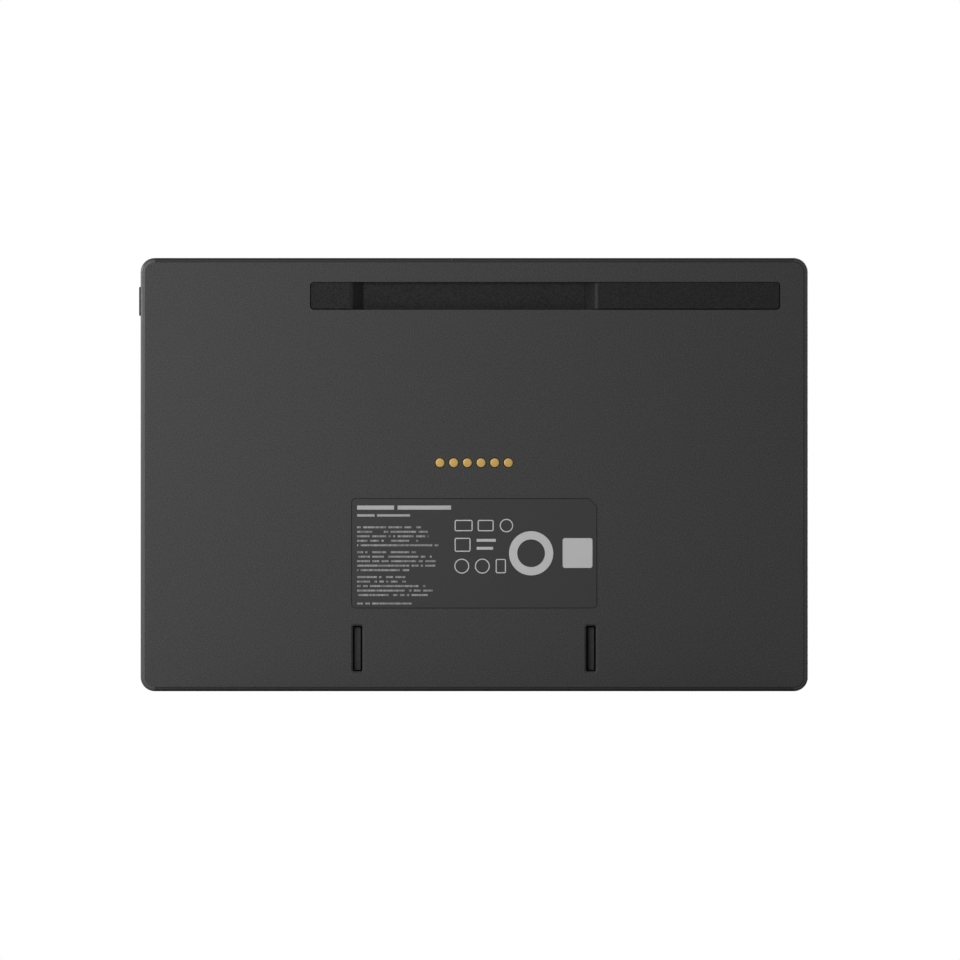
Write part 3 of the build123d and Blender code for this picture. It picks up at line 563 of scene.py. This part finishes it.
# %% [markdown]
# A thin dark line is painted all round the film's edge, as painted shade for the narrow gap between
# the film and its recess. It follows the film's own outline: round corners, and one corner cut at 45
# degrees. A step of one millimetre to the side brings a point 0.707 mm nearer to that cut.

# %% Find the film's edge

film_corner, corner_cut, edge_shade_width = 1.65, 3.1, 0.22
to_cut = (width - corner_cut - sideways + down) * 0.707
edge_painted_shade = inside_box(0, width, 0, height, film_corner).least(to_cut) < edge_shade_width

# %% [markdown]
# The ink is light grey and a little duller than the film. It lies on top, so it also lifts the
# surface by a hundredth of a millimetre. The film itself has a fine orange-peel surface.

# %% Finish the film

peel = panel.noise(place, 2.5, 3.0)
bare = panel.shade(peel, 0.94, 1.06)
printed = panel.between(ink, bare, grey(0.6))
# Painted shade: a dark band along the film's edge.
panel.set("Base Color", panel.between(edge_painted_shade, printed, grey(0.008)))
panel.set("Roughness", 0.38 + 0.08 * peel + 0.12 * ink)
panel.set("Normal", panel.bump(peel * 0.6 + ink * 0.4, 0.01))
dress(panel, "label_film")

# %% [markdown]
# ## Pieces of our own
# A few solids are right for their size but too plain up close. A finer piece made with `bmesh` then
# takes the place of each, and rides on the same body. Its faces are turned outwards, and it is
# shaded smooth except across edges that turn by more than 30 degrees.

# %% Turn a bmesh into a piece

sharp_angle = radians(30)
merge_distance = 0.001 * mm
near_enough = 0.01 * mm
round_steps = 48


def new_piece(name, build, finish, body):
    bmesh.ops.recalc_face_normals(build, faces=build.faces[:])
    mesh = bpy.data.meshes.new(name)
    build.to_mesh(mesh)
    build.free()
    mesh.shade_smooth()
    mesh.set_sharp_from_angle(angle=sharp_angle)
    mesh.materials.append(finish.material)
    piece = bpy.data.objects.new(name, mesh)
    bpy.context.scene.collection.objects.link(piece)
    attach(piece, body)
    print(name, "has", len(mesh.polygons), "faces")
    return piece


# %% [markdown]
# ## The gold contacts
# Each contact is a pad turned from brass and plated with gold, with a low crown where the bracket's
# sprung pin lands and an edge that rolls down into its bore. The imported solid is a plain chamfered
# disc. Spinning a profile about the pad's axis gives the crown, the edge, a head a tenth of a
# millimetre wider than the stem, and the stem itself in one go, and it is how a lathe makes the
# real one.

# %% Spin the contact pads


def spin_profile(build, profile, centre):
    """Spin points given as radius and level about an axis along Y."""
    points = [build.verts.new(centre + Vector((radius, level, 0))) for radius, level in profile]
    lines = [build.edges.new(pair) for pair in zip(points, points[1:])]
    bmesh.ops.spin(
        build,
        geom=points + lines,
        cent=centre,
        axis=(0, 1, 0),
        angle=2 * pi,
        steps=round_steps,
        use_merge=True,
    )


pads_low, pads_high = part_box("contact_pads")
pad_radius = (pads_high.z - pads_low.z) / 2
row_level = (pads_low.z + pads_high.z) / 2
pad_count = 6
pad_pitch = (pads_high.x - pads_low.x - 2 * pad_radius) / (pad_count - 1)
head_radius = pad_radius + 0.12 * mm
crown = [(0, 0), (0.7, 0.01), (0.88, 0.025), (0.95, 0.05), (0.985, 0.09), (1, 0.15), (1, 0.3)]
pad_profile = [(share * head_radius, pads_high.y - drop * mm) for share, drop in crown]
pad_profile += [(pad_radius, pads_high.y - 0.4 * mm), (pad_radius, pads_low.y), (0, pads_low.y)]
pads = bmesh.new()
for number in range(pad_count):
    x = pads_low.x + pad_radius + number * pad_pitch
    spin_profile(pads, pad_profile, Vector((x, 0, row_level)))
bmesh.ops.remove_doubles(pads, verts=pads.verts[:], dist=merge_distance)

# %% [markdown]
# Gold plate takes the marks of the tool below it: fine rings round the middle of each pad. The
# noise is read along the radius only, so it forms rings. The pads share one material, so the
# remainder of the place across the row finds each pad's own middle.

# %% Finish the contacts

gold = Finish("gold plate", (0.34, 0.225, 0.072), 0.45, metallic=1.0)
place = gold.place()
across, _, up = gold.axes(place)
row_start = (pads_low.x + pad_radius - pad_pitch / 2) / mm
row_pitch = pad_pitch / mm
from_middle = (((across - row_start) / row_pitch).fraction() - 0.5) * row_pitch
radius = gold.length(from_middle, up - row_level / mm)
one_way = {"noise_dimensions": "1D"}
rings = gold.node("TexNoise", one_way, w=radius, scale=9.0, detail=3.0, out="Fac")
dust = gold.noise(place, 1.2, 3.0)
gold.set("Base Color", gold.shade(dust, 0.92, 1.08))
gold.set("Roughness", 0.4 + 0.14 * rings + 0.06 * dust)
gold.set("Normal", gold.bump(rings, 0.012))
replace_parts(new_piece("contact_faces", pads, gold, "housing"), "contact_pads")

# %% [markdown]
# ## The pads in the slots
# A tongue on the bracket presses into each slot and lands on a rubber pad. Such a pad has a shallow
# groove along its middle, which centres the tongue, and no sharp edge. Its cross-section is drawn
# once: a rounded shoulder on each side and a shallow curve between them. Extruding it gives the
# pad's length, and a bevel rounds the ends.

# %% Shape the slot pads

shoulder, sag, end_round = 0.12 * mm, 0.2 * mm, 0.1 * mm
groove_steps, shoulder_steps = 6, 4
slot_pitch = 90.93 * mm


def pad_section(middle, half_width, top, foot):
    """A pad's cross-section, from its left foot over the groove to its right foot."""
    run = half_width - shoulder
    side = []
    for step in range(1, groove_steps + 1):
        share = step / groove_steps
        side.append((run * step / groove_steps, top - sag * (1 - share**2)))
    for step in range(1, shoulder_steps + 1):
        turn = pi / 2 * step / shoulder_steps
        side.append((run + shoulder * sin(turn), top - shoulder * (1 - cos(turn))))
    side.append((half_width, foot))
    left = [(-reach, level) for reach, level in reversed(side)]
    return [Vector((middle + reach, level, 0)) for reach, level in left + [(0, top - sag)] + side]


rubber_low, rubber_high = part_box("slot_pads")
half_width = (rubber_high.x - rubber_low.x - slot_pitch) / 2
strips = bmesh.new()
for middle in (-slot_pitch / 2, slot_pitch / 2):
    section = pad_section(middle, half_width, rubber_high.y, rubber_low.y)
    points = [strips.verts.new(point + Vector((0, 0, rubber_low.z))) for point in section]
    made = bmesh.ops.extrude_face_region(strips, geom=[strips.faces.new(points)])["geom"]
    grown = [item for item in made if isinstance(item, bmesh.types.BMVert)]
    bmesh.ops.translate(strips, verts=grown, vec=(0, 0, rubber_high.z - rubber_low.z))
end_edges = [
    edge
    for edge in strips.edges
    if abs(edge.verts[0].co.z - edge.verts[1].co.z) < near_enough
    and max(point.co.y for point in edge.verts) > rubber_low.y + near_enough
]
bmesh.ops.bevel(
    strips,
    geom=end_edges,
    offset=end_round,
    segments=3,
    affect="EDGES",
    profile=0.5,
    material=-1,
)
print("open edges:", sum(not edge.is_manifold for edge in strips.edges))
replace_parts(new_piece("grooved_pads", strips, pad_rubber, "housing"), "slot_pads")

# %% [markdown]
# ## The side key
# The key is a satin cap that stands 0.6 mm proud of the edge, with half-round ends. Inside, a
# flange keeps it in and a nub works the switch. A circle stretched along the key gives the outline.
# Then the cap's face is extruded inwards step by step: cap, flange, nub, like pulling a telescope.

# %% Measure the side key

key_low, key_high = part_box("side_key")
key_middle = (key_low + key_high) / 2
cap_radius, cap_length, cap_round = 1.3 * mm, 11.3 * mm, 0.4 * mm
straight = cap_length / 2 - cap_radius
proud, wall, play = 0.6, 2.0, 0.05
flange_back = key_high.x - (proud + wall + play) * mm
flange_front = flange_back - 0.8 * mm
flange_reach, nub_radius = 1.0 * mm, 0.9 * mm
nub_share = nub_radius / (cap_radius + flange_reach)
print("key in mm:", [round(v / mm, 2) for v in key_high - key_low])

# %% [markdown]
# Widening and narrowing keep the half-round ends round, because each point moves away from or
# towards the nearest point on the key's middle line, which `spine` finds. A bevel with four
# segments rounds the edge that the finger meets.

# %% Shape the side key


def spine(point):
    """The nearest point on the key's middle line, at the same X."""
    level = min(max(point.z, key_middle.z - straight), key_middle.z + straight)
    return Vector((point.x, key_middle.y, level))


def extrude(build, face, step):
    """Extrude one face along X and hand back the new end face."""
    made = bmesh.ops.extrude_face_region(build, geom=[face])["geom"]
    end = next(item for item in made if isinstance(item, bmesh.types.BMFace))
    bmesh.ops.translate(build, verts=end.verts[:], vec=(step, 0, 0))
    return end


def pull(build, face, step):
    """Extrude an end face and leave nothing of it behind."""
    end = extrude(build, face, step)
    bmesh.ops.delete(build, geom=[face], context="FACES_ONLY")
    return end


key = bmesh.new()
key_place = Matrix.Translation((key_high.x, key_middle.y, key_middle.z))
turned = key_place @ Matrix.Rotation(pi / 2, 4, "Y")
bmesh.ops.create_circle(
    key, cap_ends=True, radius=cap_radius, segments=round_steps, matrix=turned
)
for point in key.verts:
    point.co.z += straight if point.co.z > key_middle.z else -straight
end = extrude(key, key.faces[:][0], flange_back - key_high.x)
end = pull(key, end, 0)
for point in end.verts:
    point.co += (point.co - spine(point.co)).normalized() * flange_reach
end = pull(key, end, flange_front - flange_back)
end = pull(key, end, 0)
for point in end.verts:
    out = point.co - spine(point.co)
    point.co = Vector((point.co.x, key_middle.y, key_middle.z)) + out * nub_share
end = pull(key, end, key_low.x - flange_front)
outermost = key_high.x - near_enough
cap_edges = [edge for edge in key.edges if all(v.co.x > outermost for v in edge.verts)]
bmesh.ops.bevel(
    key, geom=cap_edges, offset=cap_round, segments=4, affect="EDGES", profile=0.5, material=-1
)
bmesh.ops.remove_doubles(key, verts=key.verts[:], dist=merge_distance)

# %% [markdown]
# A key is touched often, so its grain is finer than the cover's and its satin is a bit glossier.

# %% Finish the side key

satin = moulded("satin key", grey(0.017), 0.5, speckle=0.2, depth=0.02, specular=0.05)
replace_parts(new_piece("key_cap", key, satin, "key"), "side_key")

# %% [markdown]
# ## The front: a glass pane with a printed border
# Seen from the front, the display is one sheet of glass that is printed black round its edge. With
# the screen off, the picture area is a touch lighter than the ink, because some light comes back
# from the panel. The two areas are told apart by their distance from the middle. Fingerprints are a
# slow change in gloss that only shows in a reflection.

# %% Finish the glass

glass = Finish("screen glass", (0.006, 0.006, 0.008), 0.05)
place = glass.place()
across, _, up = glass.axes(place)
lcd_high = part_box("lcd_panel")[1]
border = 2.4 * mm
picture_x, picture_z = (lcd_high.x - border) / mm, (lcd_high.z - border) / mm
picture = (abs(across) < picture_x) * (abs(up) < picture_z)
smear = glass.noise(glass.stretch(place, (1.0, 1.0, 0.4)), 0.03, 4.0, 0.6)
glass.set("Base Color", glass.between(picture, grey(0.003), (0.011, 0.011, 0.014)))
glass.set("Roughness", 0.04 + 0.06 * glass.ramp(smear, [(0.45, 0.0), (0.75, 1.0)]))
glass.set("IOR", 1.52)
dress(glass, "front_glass")

# %% [markdown]
# ## The display behind the glass
# The panel, its films and its light guide are hidden while the display is closed, but anyone who
# takes the model apart finds them. The panel has a fine grid of picture cells.

# %% Finish the panel

cells = Finish("picture cells", (0.02, 0.02, 0.024), 0.12)
across, _, up = cells.axes(cells.place())
cells_per_mm, cell_gap = 2, 0.12
columns = (across * cells_per_mm).fraction() < cell_gap
lines = (up * cells_per_mm).fraction() < cell_gap
grid = columns.most(lines)
cells.set("Base Color", cells.shade(grid, 1.2, 0.5))
cells.set("Roughness", 0.1 + 0.1 * grid)
dress(cells, "lcd_panel")

# %% [markdown]
# The guide has printed dots that grow away from the lamps, which is what spreads their light evenly
# over the picture. `rise` goes from 0 at the lamps to 1 at the far edge, and the dots grow with it.

# %% Finish the light guide

guide = Finish("light guide", (0.75, 0.78, 0.8), 0.12)
place = guide.place()
_, _, up = guide.axes(place)
guide_low, guide_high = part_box("light_guide")
rise = (up - guide_low.z / mm) / ((guide_high.z - guide_low.z) / mm)
dots = guide.node("TexVoronoi", None, place, scale=0.9, randomness=0.0, out="Distance")
printed = dots < 0.1 + 0.2 * rise
guide.set("Base Color", guide.between(printed, guide.colour, grey(0.95)))
guide.set("Roughness", 0.1 + 0.5 * printed)
dress(guide, "light_guide")

# %% [markdown]
# The films and the reflector are white plastic sheets with a faint haze, and the tapes and foils
# are thin sheets that never lie quite flat. One helper makes a sheet: a slow ripple for the way it
# lies and a fine haze for its surface.

# %% Finish the sheets


def thin_sheet(name, colour, roughness, ripple=0.02, metallic=0.0):
    finish = Finish(name, colour, roughness, metallic)
    place = finish.place()
    wave = finish.noise(place, 0.12, 2.0)
    haze = finish.noise(place, 3.0, 2.0)
    finish.set("Base Color", finish.shade(haze, 0.95, 1.05))
    finish.set("Roughness", roughness - 0.05 + 0.1 * haze)
    finish.set("Normal", finish.bump(wave * 0.7 + haze * 0.3, ripple))
    return finish


dress(thin_sheet("white film", grey(0.8), 0.5), "optical_films", "reflector_sheet")
dress(thin_sheet("adhesive tape", grey(0.02), 0.6), "glass_tape", "battery_tape")
dress(thin_sheet("foil pouch", (0.55, 0.55, 0.57), 0.35, 0.25, 0.9), "battery_pack")
dress(thin_sheet("copper foil", (0.72, 0.45, 0.3), 0.35, 0.1, 1.0), "antennas")

# %% [markdown]
# ## The lamp strip
# The strip is a white tape with twelve small lamps, each under a yellow dab that turns blue light
# white. The remainder of the place along the strip finds each lamp.

# %% Finish the lamp strip

lamps = Finish("lamp strip", (0.85, 0.84, 0.8), 0.4)
place = lamps.place()
across, _, up = lamps.axes(place)
strip_low, strip_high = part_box("led_bar")
lamp_count, dab_reach, dab_start = 12, 0.18, 0.55
lamp_pitch = (strip_high.x - strip_low.x) / lamp_count / mm
off_lamp = abs(((across - strip_low.x / mm) / lamp_pitch).fraction() - 0.5)
dab_level = (strip_low.z + (strip_high.z - strip_low.z) * dab_start) / mm
dab = (off_lamp < dab_reach) * (up > dab_level)
haze = lamps.noise(place, 2.0, 2.0)
tape = lamps.shade(haze, 0.94, 1.04)
lamps.set("Base Color", lamps.between(dab, tape, (0.8, 0.62, 0.12)))
lamps.set("Roughness", 0.35 + 0.2 * haze)
dress(lamps, "led_bar")

# %% [markdown]
# ## Sheet metal
# The chassis, the tray, the bracket and the shield cans are stamped from rolled sheet. Rolling
# draws every scratch out in one direction, so the noise is squeezed hard across it and stretched
# along it. Screws and inserts are turned instead, so their marks run round, and at their size a
# noise that is stretched less is enough.

# %% Finish the metals


def rolled(name, colour, roughness, direction):
    finish = Finish(name, colour, roughness, metallic=1.0)
    place = finish.place()
    drawn = finish.noise(finish.stretch(place, direction), 1.6, 4.0, 0.6)
    stain = finish.noise(place, 0.05, 3.0)
    finish.set("Base Color", finish.shade(stain, 0.88, 1.08))
    finish.set("Roughness", roughness - 0.1 + 0.2 * drawn)
    finish.set("Normal", finish.bump(drawn, 0.006))
    return finish


dress(rolled("chassis steel", grey(0.5), 0.42, (0.05, 1.0, 1.0)), "chassis_plate")
bright = rolled("bright steel", (0.62, 0.62, 0.63), 0.32, (1.0, 1.0, 0.05))
dress(bright, "key_bracket", "microphones", "backlight_tray", "shield_cans")
zinc = rolled("zinc plate", (0.45, 0.45, 0.46), 0.4, (1.0, 0.3, 1.0))
dress(zinc, "small_screws", "chassis_screws", "board_screws")
dress(rolled("turned brass", (0.72, 0.54, 0.25), 0.35, (1.0, 0.1, 1.0)), "threaded_inserts")

# %% [markdown]
# ## Circuit boards
# A board is glass-fibre under green lacquer. The copper tracks below raise the lacquer and show as
# lighter lines that run straight, and small tinned holes dot the ground between them. Upright bands
# that are kept only where a slow noise is high, and level ones where it is low, look like bundles
# of tracks, and the middles of Voronoi cells make the holes.

# %% Finish the boards


def circuit(name, colour):
    finish = Finish(name, colour, 0.35)
    place = finish.place()
    across, _, up = finish.axes(place)
    region = finish.noise(place, 0.09, 1.0)
    tracks_per_mm, track_share = 1.4, 0.4
    upright = ((across * tracks_per_mm).fraction() < track_share) * (region > 0.53)
    level = ((up * tracks_per_mm).fraction() < track_share) * (region < 0.46)
    tracks = upright.most(level)
    holes = finish.node("TexVoronoi", None, place, scale=0.35, out="Distance") < 0.1
    lacquer = finish.shade(tracks, 0.85, 1.7)
    finish.set("Base Color", finish.between(holes, lacquer, (0.6, 0.58, 0.5)))
    finish.set("Metallic", holes)
    finish.set("Roughness", 0.3 + 0.1 * region)
    finish.set("Normal", finish.bump(tracks.most(holes), 0.03))
    return finish


boards = circuit("green board", (0.02, 0.09, 0.05))
dress(boards, "contact_board", "key_board", "mic_board")
dress(boards, "driver_board", "main_board", "battery_circuit")

# %% [markdown]
# The flexes are amber film with copper lines sealed inside. The lines run along each flex, and all
# three flexes run up the display, so one set of upright stripes fits them all.

# %% Finish the flexes

amber = Finish("amber flex", (0.45, 0.22, 0.05), 0.3)
place = amber.place()
across, _, _ = amber.axes(place)
lines_per_mm, line_share = 1.25, 0.55
stripes = (across * lines_per_mm).fraction() < line_share
cloud = amber.noise(place, 0.3, 2.0)
amber.set("Base Color", amber.shade(stripes, 0.7, 1.3))
amber.set("Roughness", 0.25 + 0.15 * cloud)
amber.set("Normal", amber.bump(stripes, 0.02))
dress(amber, "contact_flex", "lcd_flex", "display_cable")

# %% [markdown]
# ## Floor, light and camera
# The display stands on its lower edge on a pale floor. Near the display the floor keeps half its
# shade, so that a shadow shows, and from 140 to 400 mm away it fades into plain white for the
# camera, so that its far edge is not seen. Light Path tells the camera's rays from the others.

# %% Finish the floor

floor_finish = Finish("pale floor", grey(0.82), 0.9, specular=0.1)
place = floor_finish.place()
speck = floor_finish.noise(place, 0.02, 3.0)
floor_finish.set("Base Color", floor_finish.shade(speck, 0.99, 1.01))
across, along, _ = floor_finish.axes(place)
fade_start, fade_length = 140, 260
far = ((floor_finish.length(across, along) - fade_start) / fade_length).clipped()
seen = floor_finish.node("LightPath", out="Is Camera Ray")
glow = floor_finish.node("Emission", None, (*grey(1.0), 1.0), 1.0)
surface = Amount(floor_finish, floor_finish.shader.outputs[0])
both = floor_finish.node("MixShader", None, seen * (0.5 + 0.5 * far), surface, glow)
floor_output = floor_finish.tree.nodes["Material Output"]
floor_finish.feed(floor_output.inputs["Surface"], both)

# %% [markdown]
# The floor is one grid. It lies a hair below the display's lower edge, because two faces in one
# plane would flicker.

# %% Lay the floor

floor_gap = 0.05 * mm
floor_place = Matrix.Translation((0, 0, housing_low.z - floor_gap))
ground = bmesh.new()
bmesh.ops.create_grid(ground, x_segments=8, y_segments=8, size=3.0, matrix=floor_place)
floor_mesh = bpy.data.meshes.new("floor")
ground.to_mesh(floor_mesh)
ground.free()
floor_mesh.materials.append(floor_finish.material)
floor = bpy.data.objects.new("floor", floor_mesh)
bpy.context.scene.collection.objects.link(floor)
print("floor at", round((housing_low.z - floor_gap) / mm, 2), "mm")

# %% [markdown]
# To the camera, and in reflections and through glass, the room is plain white, while the light that
# falls on the object from it is much weaker. MAXIMUM joins the three kinds of rays into one answer
# of 1 or 0, and Map Range turns that answer into a strength.

# %% Light the room

world = bpy.data.worlds.new("studio")
bpy.context.scene.world = world
world.use_nodes = True
room = world.node_tree
background = room.nodes["Background"]
paths = room.nodes.new("ShaderNodeLightPath")
plain_white = paths.outputs["Is Camera Ray"]
for kind in ("Is Glossy Ray", "Is Transmission Ray"):
    either = room.nodes.new("ShaderNodeMath")
    either.operation = "MAXIMUM"
    room.links.new(plain_white, either.inputs[0])
    room.links.new(paths.outputs[kind], either.inputs[1])
    plain_white = either.outputs[0]
fill_level = 0.22
strength = room.nodes.new("ShaderNodeMapRange")
strength.inputs["To Min"].default_value = fill_level
strength.inputs["To Max"].default_value = 1.0
room.links.new(plain_white, strength.inputs["Value"])
room.links.new(strength.outputs["Result"], background.inputs["Strength"])
background.inputs["Color"].default_value = (*grey(1.0), 1.0)
print("fill light at", fill_level)

# %% [markdown]
# The key light is a soft panel on the camera's side of the display, to its left and a little above
# it. It stands close, so the left of the back is lighter than the right, as in the photograph. Two
# more panels graze the short sides and pick out their rounded edges, a strong one at the left and a
# weak one at the right. A fourth lights the glass evenly for anyone who walks round to the front.

# %% Place the lamps


def soft_panel(name, azimuth, elevation, distance, side, level):
    """A square lamp that faces the display, strong enough to show a colour at this level."""
    data = bpy.data.lights.new(name, "AREA")
    data.shape = "SQUARE"
    data.size = side
    data.energy = level * pi * pi * distance * distance
    lamp = bpy.data.objects.new(name, data)
    turn = Matrix.Rotation(radians(azimuth), 4, "Z") @ Matrix.Rotation(radians(elevation), 4, "X")
    facing = Matrix.Translation((0, distance, 0)) @ Matrix.Rotation(-pi / 2, 4, "X")
    lamp.matrix_world = turn @ facing
    bpy.context.scene.collection.objects.link(lamp)
    print(name, "at", [round(v, 2) for v in lamp.location], "with", round(data.energy, 1), "W")


soft_panel("key light", azimuth=-27, elevation=14, distance=0.6, side=0.24, level=0.6)
soft_panel("left edge light", azimuth=-91, elevation=16, distance=0.7, side=0.3, level=1.15)
soft_panel("right edge light", azimuth=100, elevation=12, distance=0.7, side=0.3, level=0.12)
soft_panel("front light", azimuth=150, elevation=10, distance=1.3, side=0.9, level=0.6)

# %% [markdown]
# The photograph has no visible perspective, so the camera is orthographic and looks straight at the
# back. Its scale is the width of the picture at the object, 374 mm, and it aims two millimetres off
# the middle, because the object isn't quite in the middle of the photograph.

# %% Set up the camera

picture_width, camera_distance = 0.37405, 1.0
aim_x, aim_z = -2.24 * mm, -2.1 * mm
lens = bpy.data.cameras.new("camera")
lens.type = "ORTHO"
lens.ortho_scale = picture_width
camera = bpy.data.objects.new("camera", lens)
camera.location = (aim_x, camera_distance, aim_z)
camera.rotation_euler = (pi / 2, 0, pi)
bpy.context.scene.collection.objects.link(camera)
bpy.context.scene.camera = camera
bpy.context.scene.view_settings.view_transform = "Standard"
print("picture:", round(picture_width / mm, 1), "mm wide")
